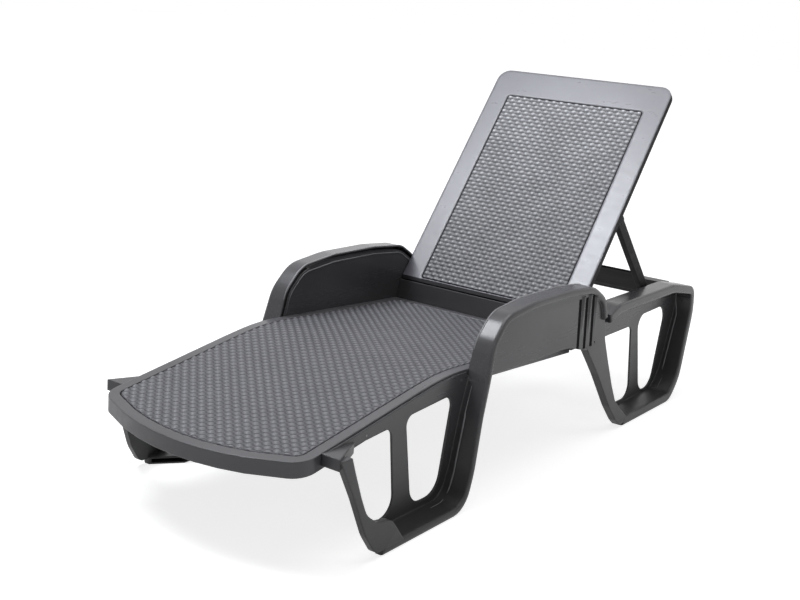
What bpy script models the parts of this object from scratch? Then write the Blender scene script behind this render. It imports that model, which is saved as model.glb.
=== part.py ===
# A moulded resin sun lounger: a woven-look seat between two side frames that are legs, arms and
# rear rails in one, and a woven-look backrest that tilts on two pins and is held up by a prop.
# X is across, the head end is at +Y, Z is up from the floor. The origin is on the floor, midway
# between the tip of the seat and the head end.

import bmesh
import bpy
import numpy as np
from math import atan2, ceil, cos, degrees, hypot, pi, radians, sin, sqrt, tan
from mathutils import Matrix, Vector

# Driving sizes, in metres
length = 1.848
width = 0.71
arm_height = 0.444
backrest_length = 0.747
side_frame_depth = 0.0705
prop_length = 0.353

# Walls and clearances
wall = 0.0045
seam = 0.0003
side_clearance = 0.002
overrun = 0.02
weld_distance = 0.00001
round_segments = 20
seat_line_steps = 8

# Angles, in degrees, and slopes
raised_angle = 52.3
side_draft = 0.047
arc_step_angle = 12.0
smoothed_angle = 30.0
edge_angle = 55.0

# Shares that keep the modelling sound: how much of an edge an arc may take, how far a corner's
# mitre may reach, and how far an edge may lean across and still be rounded
arc_reach_share = 0.48
mitre_share = 0.5
lean_share = 0.3
bevel_shape_share = 0.5

# Side frame
ribbon_thickness = 0.018
rear_ribbon_thickness = 0.026
front_bar_depth = 0.015
rear_bar_depth = 0.022
rear_bar_recess_height = 0.28
toe_height = 0.060
front_toe_setback = 0.085
rear_toe_setback = 0.070
ledge_setback = 0.024
ledge_thickness = 0.025
ledge_length = 0.100
panel_recess = 0.009
flute_radius = 0.011
edge_radius = 0.006
rack_inner_reach = 0.026
rack_depth = 0.022
rack_end_gap = 0.0043
groove_width = 0.014
groove_depth = 0.006

# Seat
seat_bow = 0.068
seat_corner_radius = 0.05
seat_rim_width = 0.024
seat_apron_height = 0.034
seat_plate_thickness = 0.012
knee_rounding = 0.012
panel_thickness = 0.005
panel_sink = 0.002
panel_seat_width = 0.010
seat_rib_height = 0.022
seat_rib_thickness = 0.004
seat_rear_radius = 0.004
seat_screw_depth = 0.0205

# Backrest
flange_depth = 0.017
rim_thickness = 0.008
ledge_margin = 0.006
ledge_base_thickness = 0.0045
backrest_foot_radius = 0.006
backrest_rib_thickness = 0.004
backrest_corner_radius = 0.036
backrest_side_rim = 0.062
backrest_top_rim = 0.088
backrest_bottom_rim = 0.014
hinge_setback = 0.020
hinge_depth = 0.030
hinge_lug_width = 0.012
hinge_lug_radius = 0.013
hinge_pin_radius = 0.006
pin_head_radius = 0.010
pin_head_thickness = 0.003
pin_head_gap = 0.001
backrest_panel_radius = 0.008

# Prop
prop_setback = 0.320
prop_depth = 0.025
prop_arm_width = 0.030
prop_arm_thickness = 0.016
prop_pin_radius = 0.005
prop_pin_head_radius = 0.008
round_end_share = 0.98
prop_lug_radius = 0.012
prop_bar_start = 0.022
prop_bar_width = 0.088
prop_bar_thickness = 0.006
prop_side_gap = 0.0005

# Crossmembers and screws
rear_rail_depth = 0.040
rear_rail_height = 0.050
rear_rail_drop = 0.109
rear_rail_slot_width = 0.029
rear_rail_slot_depth = 0.017
groove_pitch = 0.045
groove_lead = 0.0075
rack_clearance = 0.0005
pin_overhang = 0.002
screw_radius = 0.003
screw_head_radius = 0.007
screw_head_thickness = 0.003

# Shares of the length (along) and of the arm height (up), with the corner's rounding as a share of
# the arm height. All are seen from the side.
front_edge_shares = (
    (-0.436, 0.540, 0.00),
    (-0.412, 0.334, 0.40),
    (-0.393, 0.135, 0.20),
    (-0.368, 0.000, 0.14),
)
# The front face of the ribbon that runs over the arm and down the front leg to its toe
arm_ribbon_shares = (
    (0.174, 0.760, 0.00),
    (0.166, 0.883, 0.20),
    (0.128, 0.973, 0.20),
    (0.057, 0.998, 0.40),
    (-0.040, 1.000, 0.40),
    (-0.110, 0.968, 0.20),
    (-0.142, 0.838, 0.20),
    (-0.155, 0.642, 0.00),
)
leg_ribbon_shares = (
    (-0.155, 0.642, 0.00),
    (-0.168, 0.466, 0.40),
    (-0.182, 0.200, 0.30),
    (-0.197, 0.04054, 0.12),
    (-0.362, 0.04054, 0.00),
)
# The lower edge of the web, which hangs behind the rim of the seat under the arm
arch_shares = (
    (-0.146, 0.671, 0.00),
    (-0.132, 0.632, 0.05),
    (0.070, 0.614, 0.20),
    (0.120, 0.590, 0.20),
    (0.212, 0.164, 0.40),
    (0.246, 0.000, 0.10),
)
rear_ribbon_shares = (
    (0.254, 0.000, 0.00),
    (0.428, 0.000, 0.16),
    (0.462, 0.117, 0.30),
    (0.500, 0.583, 0.30),
    (0.497, 0.752, 0.08),
    (0.415, 0.815, 0.40),
    (0.214, 0.811, 0.20),
    (0.182, 0.770, 0.00),
)
window_shares = (
    ((-0.460, 0.500, 0.02), (-0.313, 0.541, 0.05), (-0.296, 0.085, 0.09), (-0.410, 0.070, 0.02)),
    ((-0.285, 0.563, 0.05), (-0.186, 0.588, 0.06), (-0.205, 0.077, 0.11), (-0.261, 0.077, 0.11)),
    ((0.090, 0.570, 0.02), (0.320, 0.577, 0.05), (0.343, 0.077, 0.08), (0.180, 0.077, 0.02)),
    ((0.341, 0.625, 0.08), (0.451, 0.637, 0.10), (0.425, 0.077, 0.11), (0.379, 0.077, 0.11)),
)
front_bar_shares = (
    (-0.434, 0.530, 0.00),
    (-0.412, 0.334, 0.40),
    (-0.393, 0.135, 0.20),
    (-0.376, 0.030, 0.05),
    (-0.322, 0.030, 0.00),
    (-0.346, 0.160, 0.08),
    (-0.372, 0.176, 0.10),
    (-0.391, 0.234, 0.10),
    (-0.400, 0.329, 0.20),
    (-0.410, 0.458, 0.10),
    (-0.415, 0.530, 0.00),
)
rear_bar_shares = (
    (0.120, 0.610, 0.00),
    (0.159, 0.418, 0.30),
    (0.202, 0.175, 0.20),
    (0.227, 0.061, 0.10),
    (0.240, 0.020, 0.00),
    (0.272, 0.030, 0.00),
    (0.246, 0.110, 0.08),
    (0.222, 0.189, 0.10),
    (0.207, 0.311, 0.20),
    (0.190, 0.484, 0.20),
    (0.178, 0.619, 0.20),
    (0.172, 0.765, 0.00),
    (0.150, 0.765, 0.00),
)
panel_shares = (
    (-0.142, 0.671, 0.00),
    (0.065, 0.654, 0.50),
    (0.120, 0.594, 0.10),
    (0.180, 0.640, 0.00),
    (0.170, 0.800, 0.00),
    (0.160, 0.870, 0.20),
    (0.124, 0.955, 0.20),
    (0.057, 0.980, 0.40),
    (-0.040, 0.982, 0.40),
    (-0.106, 0.950, 0.20),
    (-0.137, 0.838, 0.20),
)
flute_shares = (0.101, 0.121, 0.141)
flute_low_share = 0.62
flute_high_share = 0.93
seat_front_height_share = 0.50338
seat_knee_height_share = 0.70608
seat_hip_height_share = 0.63288
backrest_face_height_share = 0.75676
ledge_height_share = 0.54505
seat_tip_share = -0.5
seat_end_share = 0.1225
knee_share = -0.2
backrest_foot_share = 0.1315
rack_start_share = 0.290
# Grooves of the rack, in pitches from the one that the prop stands in
groove_steps = (-3, -2, -1, 0, 1, 2)
rear_rail_setback_share = 0.006
seat_screw_shares = (-0.36, -0.17)
seat_rib_shares = (-0.32, -0.21, -0.10, 0.01)
backrest_rib_shares = (0.32, 0.58, 0.80)
bow_shares = (-0.6, -0.4, -0.2, 0.0, 0.2, 0.4, 0.6)
# Where the seat bends, as shares of the length before and behind the knee
bend_shares = (-0.300, -0.060, -0.030, -0.010, 0.010, 0.030, 0.060, 0.3225)
hip_rail_shares = (
    (0.1234, 0.590, 0.00),
    (0.1296, 0.751, 0.00),
    (0.1342, 0.737, 0.00),
    (0.1340, 0.687, 0.00),
    (0.1602, 0.676, 0.00),
    (0.1602, 0.590, 0.00),
)
hip_hollow_shares = (
    (0.1260, 0.540, 0.00),
    (0.1291, 0.663, 0.00),
    (0.1572, 0.663, 0.00),
    (0.1572, 0.540, 0.00),
)
hip_screw_share = (0.143, 0.628)
prop_rise_share = 0.7320

# Colours and roughness
anthracite = (0.105, 0.104, 0.112)
woven_grey = (0.088, 0.088, 0.094)
charcoal = (0.052, 0.051, 0.054)
zinc = (0.42, 0.42, 0.43)
satin = 0.36
matt = 0.46

# Sizes worked out from these
half_width = width / 2
ledge_half_width = half_width - ledge_setback
web_inner = half_width - side_frame_depth
backrest_half = web_inner - side_clearance
web_outer = web_inner + wall
seat_half = web_inner - seam
seat_front_height = seat_front_height_share * arm_height
seat_knee_height = seat_knee_height_share * arm_height
seat_hip_height = seat_hip_height_share * arm_height
backrest_face_height = backrest_face_height_share * arm_height
ledge_height = ledge_height_share * arm_height
rear_rail_rear = length / 2 - rear_rail_setback_share * length
rear_rail_front = rear_rail_rear - rear_rail_depth
tilt = radians(raised_angle)
foot_y = backrest_foot_share * length
hinge_y = foot_y + hinge_setback * cos(tilt) + hinge_depth * sin(tilt)
hinge_z = backrest_face_height + hinge_setback * sin(tilt) - hinge_depth * cos(tilt)
plate_under = hinge_depth - rim_thickness
flange_under = hinge_depth - flange_depth
prop_along = prop_setback - hinge_setback
prop_up = hinge_depth - prop_depth
prop_arm_outer = backrest_half - wall - prop_side_gap
prop_arm_inner = prop_arm_outer - prop_arm_thickness
prop_y = hinge_y + prop_along * cos(tilt) - prop_up * sin(tilt)
prop_z = hinge_z + prop_along * sin(tilt) + prop_up * cos(tilt)
foot_height = prop_rise_share * arm_height
foot_place = prop_y + sqrt(prop_length**2 - (prop_z - foot_height) ** 2)

parts = bpy.data.collections.new("sun_lounger")
cutters = bpy.data.collections.new("cutters")


def clear_scene():
    for item in list(bpy.data.objects):
        bpy.data.objects.remove(item, do_unlink=True)
    for collection in (parts, cutters):
        bpy.context.scene.collection.children.link(collection)


def resin(name, colour, roughness, metallic=0.0):
    material = bpy.data.materials.new(name)
    material.use_nodes = True
    shader = material.node_tree.nodes["Principled BSDF"]
    shader.inputs["Base Color"].default_value = (*colour, 1.0)
    shader.inputs["Roughness"].default_value = roughness
    shader.inputs["Metallic"].default_value = metallic
    material.diffuse_color = (*colour, 1.0)
    return material


# Outlines


def side_corners(shares):
    return [
        (Vector((along * length, up * arm_height)), rounding * arm_height)
        for along, up, rounding in shares
    ]


def rounded(corners, closed=True):
    # Each corner is a place and a radius. The arc's ends stay inside half of the shorter edge.
    points = []
    count = len(corners)
    for index, (corner, radius) in enumerate(corners):
        at_end = not closed and index in (0, count - 1)
        if radius == 0 or at_end:
            points.append(corner)
            continue
        before = corners[index - 1][0] - corner
        after = corners[(index + 1) % count][0] - corner
        half_angle = before.angle(after) / 2
        longest = min(before.length, after.length) * arc_reach_share
        reach = min(radius / tan(half_angle), longest)
        bisector = (before.normalized() + after.normalized()).normalized()
        middle = corner + bisector * (reach / cos(half_angle))
        start = corner + before.normalized() * reach - middle
        end = corner + after.normalized() * reach - middle
        turn = atan2(start.x * end.y - start.y * end.x, start.dot(end))
        steps = max(1, ceil(abs(degrees(turn)) / arc_step_angle))
        for step in range(steps + 1):
            points.append(middle + Matrix.Rotation(turn * step / steps, 2) @ start)
    return points


def offset(points, distance, closed=True):
    # Moves a path to its left, which is inwards on an outline that runs counter-clockwise.
    moved = []
    last = len(points) - 1
    for index, point in enumerate(points):
        before = point - points[index - 1]
        after = points[(index + 1) % len(points)] - point
        if not closed and index == 0:
            before = after
        if not closed and index == last:
            after = before
        before = before.normalized()
        after = after.normalized()
        left = Vector((-before.y - after.y, before.x + after.x)).normalized()
        squareness = max(left.dot(Vector((-after.y, after.x))), mitre_share)
        moved.append(point + left * (distance / squareness))
    return moved


def inset_corners(corners, distance):
    # Corners that still have to be rounded, moved inwards with their radii made smaller to match.
    places = offset([place for place, radius in corners], distance)
    return [
        (place, max(radius - distance, 0))
        for place, (corner, radius) in zip(places, corners)
    ]


def band(path, low, high):
    return offset(path, low, False) + offset(path, high, False)[::-1]


def shortened(path, margin):
    # The same open path, with both ends drawn back along their own edges.
    first = path[0] + (path[1] - path[0]).normalized() * margin
    last = path[-1] + (path[-2] - path[-1]).normalized() * margin
    return [first] + path[1:-1] + [last]


# Solids


def keep(solid, collection):
    collection.objects.link(solid)
    if collection is cutters:
        solid.hide_render = True
        solid.display_type = "WIRE"
    return solid


def finish(build, name, collection):
    mesh = bpy.data.meshes.new(name)
    build.to_mesh(mesh)
    build.free()
    return keep(bpy.data.objects.new(name, mesh), collection)


def prism(name, outlines, low, high, turn, collection):
    # A flat curve through the outlines, extruded from low to high and turned into place.
    curve = bpy.data.curves.new(name, "CURVE")
    curve.dimensions = "2D"
    curve.fill_mode = "BOTH"
    curve.extrude = (high - low) / 2
    for outline in outlines:
        spline = curve.splines.new("POLY")
        spline.points.add(len(outline) - 1)
        for point, place in zip(spline.points, outline):
            point.co = (place[0], place[1], 0.0, 1.0)
        spline.use_cyclic_u = True
    shape = bpy.data.objects.new(name + "_outline", curve)
    bpy.context.scene.collection.objects.link(shape)
    shape.matrix_world = turn @ Matrix.Translation((0, 0, (low + high) / 2))
    bpy.context.view_layer.update()
    graph = bpy.context.evaluated_depsgraph_get()
    mesh = bpy.data.meshes.new_from_object(shape.evaluated_get(graph))
    build = bmesh.new()
    build.from_mesh(mesh)
    bmesh.ops.remove_doubles(build, verts=build.verts, dist=weld_distance)
    bmesh.ops.recalc_face_normals(build, faces=build.faces)
    build.to_mesh(mesh)
    build.free()
    solid = bpy.data.objects.new(name, mesh)
    solid.matrix_world = shape.matrix_world
    bpy.data.objects.remove(shape, do_unlink=True)
    return keep(solid, collection)


def side_prism(name, outlines, low, high, collection=cutters):
    # Outlines are seen from the side, and the prism runs across from low to high.
    turn = Matrix.Rotation(pi / 2, 4, "Z") @ Matrix.Rotation(pi / 2, 4, "X")
    return prism(name, outlines, low, high, turn, collection)


def plan_prism(name, outlines, low, high, collection=cutters):
    # Outlines are seen from above, and the prism stands from low to high.
    return prism(name, outlines, low, high, Matrix.Identity(4), collection)


def box(name, low, high, collection=cutters):
    build = bmesh.new()
    bmesh.ops.create_cube(build, size=1.0)
    size = [far - near for near, far in zip(low, high)]
    middle = [(far + near) / 2 for near, far in zip(low, high)]
    build.transform(Matrix.Translation(middle) @ Matrix.Diagonal((*size, 1.0)))
    return finish(build, name, collection)


def cross_cylinder(name, radius, low, high, place, collection=cutters):
    # A cylinder across the lounger, whose axis passes through the place seen from the side.
    build = bmesh.new()
    bmesh.ops.create_cone(
        build,
        cap_ends=True,
        segments=round_segments,
        radius1=radius,
        radius2=radius,
        depth=abs(high - low),
    )
    middle = Matrix.Translation(((low + high) / 2, place[0], place[1]))
    build.transform(middle @ Matrix.Rotation(pi / 2, 4, "Y"))
    return finish(build, name, collection)


def upright_cylinder(name, radius, low, high, place, collection=cutters):
    build = bmesh.new()
    bmesh.ops.create_cone(
        build,
        cap_ends=True,
        segments=round_segments,
        radius1=radius,
        radius2=radius,
        depth=high - low,
    )
    build.transform(Matrix.Translation((place[0], place[1], (low + high) / 2)))
    return finish(build, name, collection)


# The side frames and the backrest join many shapes that share faces. This solver keeps them closed.
closed_solver = "MANIFOLD"


def combine(target, others, operation, solver="EXACT"):
    for other in others:
        modifier = target.modifiers.new(other.name, "BOOLEAN")
        modifier.object = other
        modifier.operation = operation
        modifier.solver = solver
    return target


def settled(source, name, collection, mirror=False):
    # A plain mesh of what the modifiers make, mirrored across the middle plane where asked.
    bpy.context.view_layer.update()
    graph = bpy.context.evaluated_depsgraph_get()
    mesh = bpy.data.meshes.new_from_object(source.evaluated_get(graph))
    build = bmesh.new()
    build.from_mesh(mesh)
    build.transform(source.matrix_world)
    if mirror:
        build.transform(Matrix.Diagonal((-1.0, 1.0, 1.0, 1.0)))
        bmesh.ops.reverse_faces(build, faces=build.faces)
    bmesh.ops.remove_doubles(build, verts=build.verts, dist=weld_distance / 2)
    bmesh.ops.dissolve_degenerate(build, edges=build.edges, dist=weld_distance / 2)
    return finish(build, name, collection)


def shade(solid, material):
    solid.data.materials.clear()
    solid.data.materials.append(material)
    solid.data.shade_smooth()
    solid.data.set_sharp_from_angle(angle=radians(smoothed_angle))
    return solid


def trimming_slab(name, places, depth=0, inwards=False):
    # A thick slab whose near face lies at the depth under the plane through three outer places.
    first, second, third = (Vector(place) for place in places)
    normal = (second - first).cross(third - first).normalized()
    if normal.x < 0:
        normal = -normal
    side = -1 if inwards else 1
    middle = first + normal * (side * width / 2 - depth)
    build = bmesh.new()
    bmesh.ops.create_cube(build, size=1.0)
    turn = normal.to_track_quat("X", "Z").to_matrix().to_4x4()
    size = Matrix.Diagonal((width, length * 2, length, 1.0))
    build.transform(Matrix.Translation(middle) @ turn @ size)
    return finish(build, name, cutters)


# Side frames

def outer_face(up):
    return half_width - side_draft * up


def seat_curve(y):
    # Two straight slopes, up to the knee and down to the hip, with the ridge between rounded.
    tip_y = seat_tip_share * length
    end_y = seat_end_share * length
    knee_y = knee_share * length
    ramp = (seat_knee_height - seat_front_height) / (knee_y - tip_y)
    fall = (seat_knee_height - seat_hip_height) / (end_y - knee_y)
    rising = seat_front_height + ramp * (y - tip_y)
    falling = seat_hip_height + fall * (end_y - y)
    return (rising + falling - hypot(rising - falling, knee_rounding)) / 2


def seat_height(y):
    places = [(knee_share + share) * length for share in bend_shares]
    return float(np.interp(y, places, [seat_curve(place) for place in places]))


def side_planes():
    toe = front_edge_shares[-1]
    heel = leg_ribbon_shares[0]
    heel_height = heel[1] * arm_height
    side = (
        (half_width, 0, 0),
        (half_width, length / 2, 0),
        (outer_face(arm_height), 0, arm_height),
    )
    front = (
        (ledge_half_width, front_edge_shares[0][0] * length, ledge_height),
        (half_width, toe[0] * length, 0),
        (outer_face(heel_height), heel[0] * length, heel_height),
    )
    return side, front


def round_outer_edges(solid, radius):
    build = bmesh.new()
    build.from_mesh(solid.data)
    sharp = [
        edge
        for edge in build.edges
        if edge.is_manifold
        and edge.calc_face_angle() > radians(edge_angle)
        and min(vertex.co.x for vertex in edge.verts) > web_outer + radius
        and abs(edge.verts[0].co.x - edge.verts[1].co.x) < edge.calc_length() * lean_share
    ]
    bmesh.ops.bevel(
        build, geom=sharp, offset=radius, segments=2, profile=bevel_shape_share, affect="EDGES"
    )
    build.to_mesh(solid.data)
    build.free()


def ribbon(name, path, thickness, trims, pocket_trims):
    # The flange that stands out from the web along a part of the outline, and its hollow.
    reach = half_width + overrun
    strip = side_prism(name + "_strip", [band(path, 0, thickness)], web_inner, reach)
    combine(strip, trims, "DIFFERENCE", closed_solver)
    solid = settled(strip, name, cutters)
    round_outer_edges(solid, edge_radius)
    hollow_band = band(shortened(path, wall), wall, thickness - wall)
    hollow = side_prism(name + "_hollow", [hollow_band], web_inner - overrun, reach)
    combine(hollow, pocket_trims, "DIFFERENCE", closed_solver)
    return solid, hollow


def web_outline(arm_path, leg_path, rear_path):
    # The web ends in the middle of each ribbon, and under the rim of the seat.
    half = ribbon_thickness / 2
    front = side_corners(front_edge_shares)
    arch = side_corners(arch_shares)
    leg_line = offset(leg_path, half, False)
    rear_line = offset(rear_path, half, False)
    arm_line = offset(arm_path, half, False)
    seat_line = []
    start_y = arm_line[-1].x - ribbon_thickness
    end_y = front[0][0].x + ledge_length
    for step in range(seat_line_steps + 1):
        y = start_y + (end_y - start_y) * step / seat_line_steps
        seat_line.append(Vector((y, seat_height(y) - wall)))
    toe = rounded(front, False)[:-1] + [front[-1][0]]
    under_arch = rounded(arch, False)
    return toe + leg_line[::-1][1:-1] + under_arch + rear_line[1:-1] + arm_line[1:] + seat_line


def toe_cut(toe, depth, setback):
    # Slants the inner part of a foot back from the bar that stands at its toe.
    toe_y = toe[0] * length
    bar_inner = half_width - depth
    outline = [
        (web_inner - overrun, toe_y - setback),
        (bar_inner, toe_y - setback),
        (bar_inner, toe_y + wall),
        (web_inner - overrun, toe_y + setback + overrun),
    ]
    return plan_prism("toe_cut", [outline], -overrun, toe_height)


def side_frame():
    side, front = side_planes()
    trims = [trimming_slab("side_trim", side), trimming_slab("front_trim", front)]
    hollow_trims = [
        trimming_slab("side_skin", side, wall),
        trimming_slab("front_skin", front, wall),
    ]
    bar_back = trimming_slab("front_bar_back", front, front_bar_depth, True)
    recessed = outer_face(rear_bar_recess_height) - panel_recess
    rear_bar_face = (
        (half_width, 0, 0),
        (half_width, length / 2, 0),
        (recessed, 0, rear_bar_recess_height),
    )
    rear_trims = [
        trimming_slab("rear_bar_face", rear_bar_face),
        trimming_slab("rear_bar_back", rear_bar_face, rear_bar_depth, True),
    ]
    panel_trims = [
        trimming_slab("panel_face", side, panel_recess),
        trimming_slab("panel_back", side, panel_recess + wall, True),
    ]
    reach = half_width + overrun

    arm_path = rounded(side_corners(arm_ribbon_shares), False)
    leg_path = rounded(side_corners(leg_ribbon_shares), False)
    rear_path = rounded(side_corners(rear_ribbon_shares), False)
    outline = web_outline(arm_path, leg_path, rear_path)
    web = side_prism("side_web", [outline], web_inner, web_outer)
    windows = [
        side_prism("window", [rounded(side_corners(shares))], web_inner - overrun, reach)
        for shares in window_shares
    ]
    combine(web, windows, "DIFFERENCE", closed_solver)

    long_path = arm_path + leg_path[1:]
    front_ribbon, front_hollow = ribbon(
        "front_ribbon", long_path, ribbon_thickness, trims, hollow_trims
    )
    rear_ribbon, rear_hollow = ribbon(
        "rear_ribbon", rear_path, rear_ribbon_thickness, trims, hollow_trims
    )

    front_bar = side_prism("front_bar", [rounded(side_corners(front_bar_shares))], web_inner, reach)
    combine(front_bar, trims + [bar_back], "DIFFERENCE", closed_solver)
    rear_bar = side_prism("rear_bar", [rounded(side_corners(rear_bar_shares))], web_inner, reach)
    combine(rear_bar, rear_trims, "DIFFERENCE", closed_solver)

    panel = side_prism("arm_panel", [rounded(side_corners(panel_shares))], web_inner, reach)
    combine(panel, panel_trims, "DIFFERENCE", closed_solver)
    flutes = [
        upright_cylinder(
            "flute",
            flute_radius,
            flute_low_share * arm_height,
            flute_high_share * arm_height,
            (outer_face(arm_height) - panel_recess - wall, share * length),
        )
        for share in flute_shares
    ]

    ledge_front = front_edge_shares[0][0] * length
    ledge_outline = [
        (web_inner, ledge_front),
        (ledge_half_width, ledge_front),
        (web_outer, ledge_front + ledge_length),
        (web_inner, ledge_front + ledge_length),
    ]
    ledge = plan_prism("ledge", [ledge_outline], ledge_height - ledge_thickness, ledge_height)

    toe_cuts = [
        toe_cut(front_edge_shares[-1], front_bar_depth, front_toe_setback),
        toe_cut(rear_ribbon_shares[0], rear_bar_depth, rear_toe_setback),
    ]
    combine(web, [front_ribbon, rear_ribbon], "UNION", closed_solver)
    combine(web, [front_hollow, rear_hollow] + toe_cuts, "DIFFERENCE", closed_solver)
    return combine(web, [front_bar, rear_bar, panel, ledge] + flutes, "UNION", closed_solver)



# Seat


def seat_outline(inset):
    tip = seat_tip_share * length
    end = seat_end_share * length
    corners = [
        (Vector((seat_half, end)), seat_rear_radius),
        (Vector((-seat_half, end)), seat_rear_radius),
        (Vector((-seat_half, tip + seat_bow)), seat_corner_radius),
    ]
    for share in bow_shares:
        corners.append((Vector((seat_half * share, tip + seat_bow * share * share)), 0))
    corners.append((Vector((seat_half, tip + seat_bow)), seat_corner_radius))
    return rounded(inset_corners(corners, inset))


def bend_to_seat(solid):
    # Cuts the flat shape across at each bend, then lifts every point to the seat's height.
    build = bmesh.new()
    build.from_mesh(solid.data)
    for share in bend_shares:
        bmesh.ops.bisect_plane(
            build,
            geom=build.verts[:] + build.edges[:] + build.faces[:],
            plane_co=(0, (knee_share + share) * length, 0),
            plane_no=(0, 1, 0),
        )
    for vertex in build.verts:
        vertex.co.z += seat_height(vertex.co.y)
    build.to_mesh(solid.data)
    build.free()
    return solid


def seat_frame():
    panel_floor = panel_sink + panel_thickness + seam
    opening = seat_rim_width + panel_seat_width
    frame = plan_prism("seat_shell", [seat_outline(0)], -seat_apron_height, 0)
    hollow = plan_prism(
        "seat_hollow", [seat_outline(wall)], -seat_apron_height - overrun, -seat_plate_thickness
    )
    recess = plan_prism("seat_recess", [seat_outline(seat_rim_width)], -panel_floor, overrun)
    hole = plan_prism("seat_hole", [seat_outline(opening)], -seat_apron_height, overrun)
    combine(frame, [hollow, recess, hole], "DIFFERENCE")
    reach = seat_half - seat_rim_width - panel_seat_width / 2
    ribs = [
        box(
            "seat_rib",
            (-reach, share * length - seat_rib_thickness / 2, -panel_floor - seat_rib_height),
            (reach, share * length + seat_rib_thickness / 2, -panel_floor - seam),
        )
        for share in seat_rib_shares
    ]
    combine(frame, ribs, "UNION")
    bent = bend_to_seat(settled(frame, "seat_bent", cutters))
    for place in seat_screw_places():
        combine(bent, [screw_hole(place)], "DIFFERENCE")
    return settled(bent, "seat_frame", parts)


def seat_panel():
    outline = seat_outline(seat_rim_width + seam)
    panel = plan_prism("seat_sheet", [outline], -panel_sink - panel_thickness, -panel_sink)
    return bend_to_seat(settled(panel, "seat_panel", parts))


# Screws and pins


def seat_screw_places():
    return [
        (share * length, seat_height(share * length) - seat_screw_depth)
        for share in seat_screw_shares
    ]


def rail_screw_places():
    rear = rear_rail_rear - rear_rail_depth / 2
    low = arm_height - rear_rail_drop - rear_rail_height
    middle = low + (rear_rail_height - rear_rail_slot_depth) / 2
    return [(hip_screw_share[0] * length, hip_screw_share[1] * arm_height), (rear, middle)]


def screw_hole(place):
    return cross_cylinder("screw_hole", screw_radius + seam, -width, width, place)


def headed_pin(name, place, radius, head_radius, tip, neck, end):
    shaft = cross_cylinder(name + "_shaft", radius, tip, (neck + end) / 2, place)
    head = cross_cylinder(name + "_head", head_radius, neck, end, place)
    combine(head, [shaft], "UNION")
    return [
        settled(head, name + "_right", parts),
        settled(head, name + "_left", parts, mirror=True),
    ]


def screws():
    made = []
    neck = seat_half - wall - seam
    end = neck - screw_head_thickness
    names = ("seat_screw_front", "seat_screw_rear", "hip_rail_screw", "rear_rail_screw")
    for name, place in zip(names, seat_screw_places() + rail_screw_places()):
        made += headed_pin(name, place, screw_radius, screw_head_radius, web_outer, neck, end)
    return made


def hinge_pins():
    neck = web_outer + seam
    tip = backrest_half - hinge_lug_width - pin_overhang
    place = (hinge_y, hinge_z)
    end = neck + pin_head_thickness
    return headed_pin("hinge_pin", place, hinge_pin_radius, pin_head_radius, tip, neck, end)


# Crossmembers


def hip_rail():
    outline = rounded(side_corners(hip_rail_shares))[::-1]
    hollow_outline = rounded(side_corners(hip_hollow_shares))[::-1]
    rail = side_prism("hip_bar", [outline], -seat_half, seat_half)
    inside = seat_half - wall
    hollow = side_prism("hip_hollow", [hollow_outline], -inside, inside)
    combine(rail, [hollow, screw_hole(rail_screw_places()[0])], "DIFFERENCE")
    return settled(rail, "hip_rail", parts)


def rail_cut(half, front, rear, low, high):
    return box("rail_cut", (-half, front, low), (half, rear, high))


def rear_rail():
    rear = rear_rail_rear
    front = rear_rail_front
    top = arm_height - rear_rail_drop
    low = top - rear_rail_height
    slot_top = top - rear_rail_slot_depth
    inside = seat_half - wall
    slot = seat_half - rear_rail_slot_width
    rail = box("rear_bar", (-seat_half, front, low), (seat_half, rear, top))
    cuts = [
        rail_cut(slot - wall, front + wall, rear - wall, low - overrun, top - wall),
        rail_cut(inside, front + wall, rear - wall, low - overrun, slot_top - wall),
        box("slot", (slot, front - overrun, slot_top), (width, rear + overrun, top + overrun)),
        box("slot", (-width, front - overrun, slot_top), (-slot, rear + overrun, top + overrun)),
        screw_hole(rail_screw_places()[1]),
    ]
    combine(rail, cuts, "DIFFERENCE")
    return settled(rail, "rear_rail", parts)


def notch_rack():
    # A grooved ledge inside each rear rail, on which the foot of the prop stands.
    top = foot_height - prop_arm_width / 2 - rack_clearance
    outer = web_inner - seam
    inner = web_inner - rack_inner_reach
    low = (inner, rack_start_share * length, top - rack_depth)
    high = (outer, rear_rail_front - rack_end_gap, top)
    rack = box("rack", low, high)
    grooves = []
    for step in groove_steps:
        middle = foot_place + step * groove_pitch
        start = middle + groove_lead
        grooves.append(
            box(
                "groove",
                (inner - overrun, start, top - groove_depth),
                (outer + overrun, start + groove_width, top + overrun),
            )
        )
    combine(rack, grooves, "DIFFERENCE")
    return [
        settled(rack, "notch_rack_right", parts),
        settled(rack, "notch_rack_left", parts, mirror=True),
    ]


# Backrest, built lying flat with its hinge axis at the origin


def backrest_outline(inset_side, inset_top, inset_foot, radius, foot_radius):
    half = backrest_half - inset_side
    foot = inset_foot - hinge_setback
    head = backrest_length - hinge_setback - inset_top
    return rounded(
        [
            (Vector((half, foot)), foot_radius),
            (Vector((half, head)), radius),
            (Vector((-half, head)), radius),
            (Vector((-half, foot)), foot_radius),
        ]
    )


def backrest_panel_outline(inset):
    return backrest_outline(
        backrest_side_rim + inset,
        backrest_top_rim + inset,
        backrest_bottom_rim + inset,
        backrest_panel_radius,
        backrest_panel_radius,
    )


def lug_outline(place, radius, top):
    # A half circle below the place, with straight sides up to the top.
    steps = ceil(pi / radians(arc_step_angle))
    arc = []
    for step in range(steps + 1):
        turn = pi * step / steps
        arc.append(Vector((place[0] - radius * cos(turn), place[1] - radius * sin(turn))))
    return arc + [Vector((place[0] + radius, top)), Vector((place[0] - radius, top))]


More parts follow.
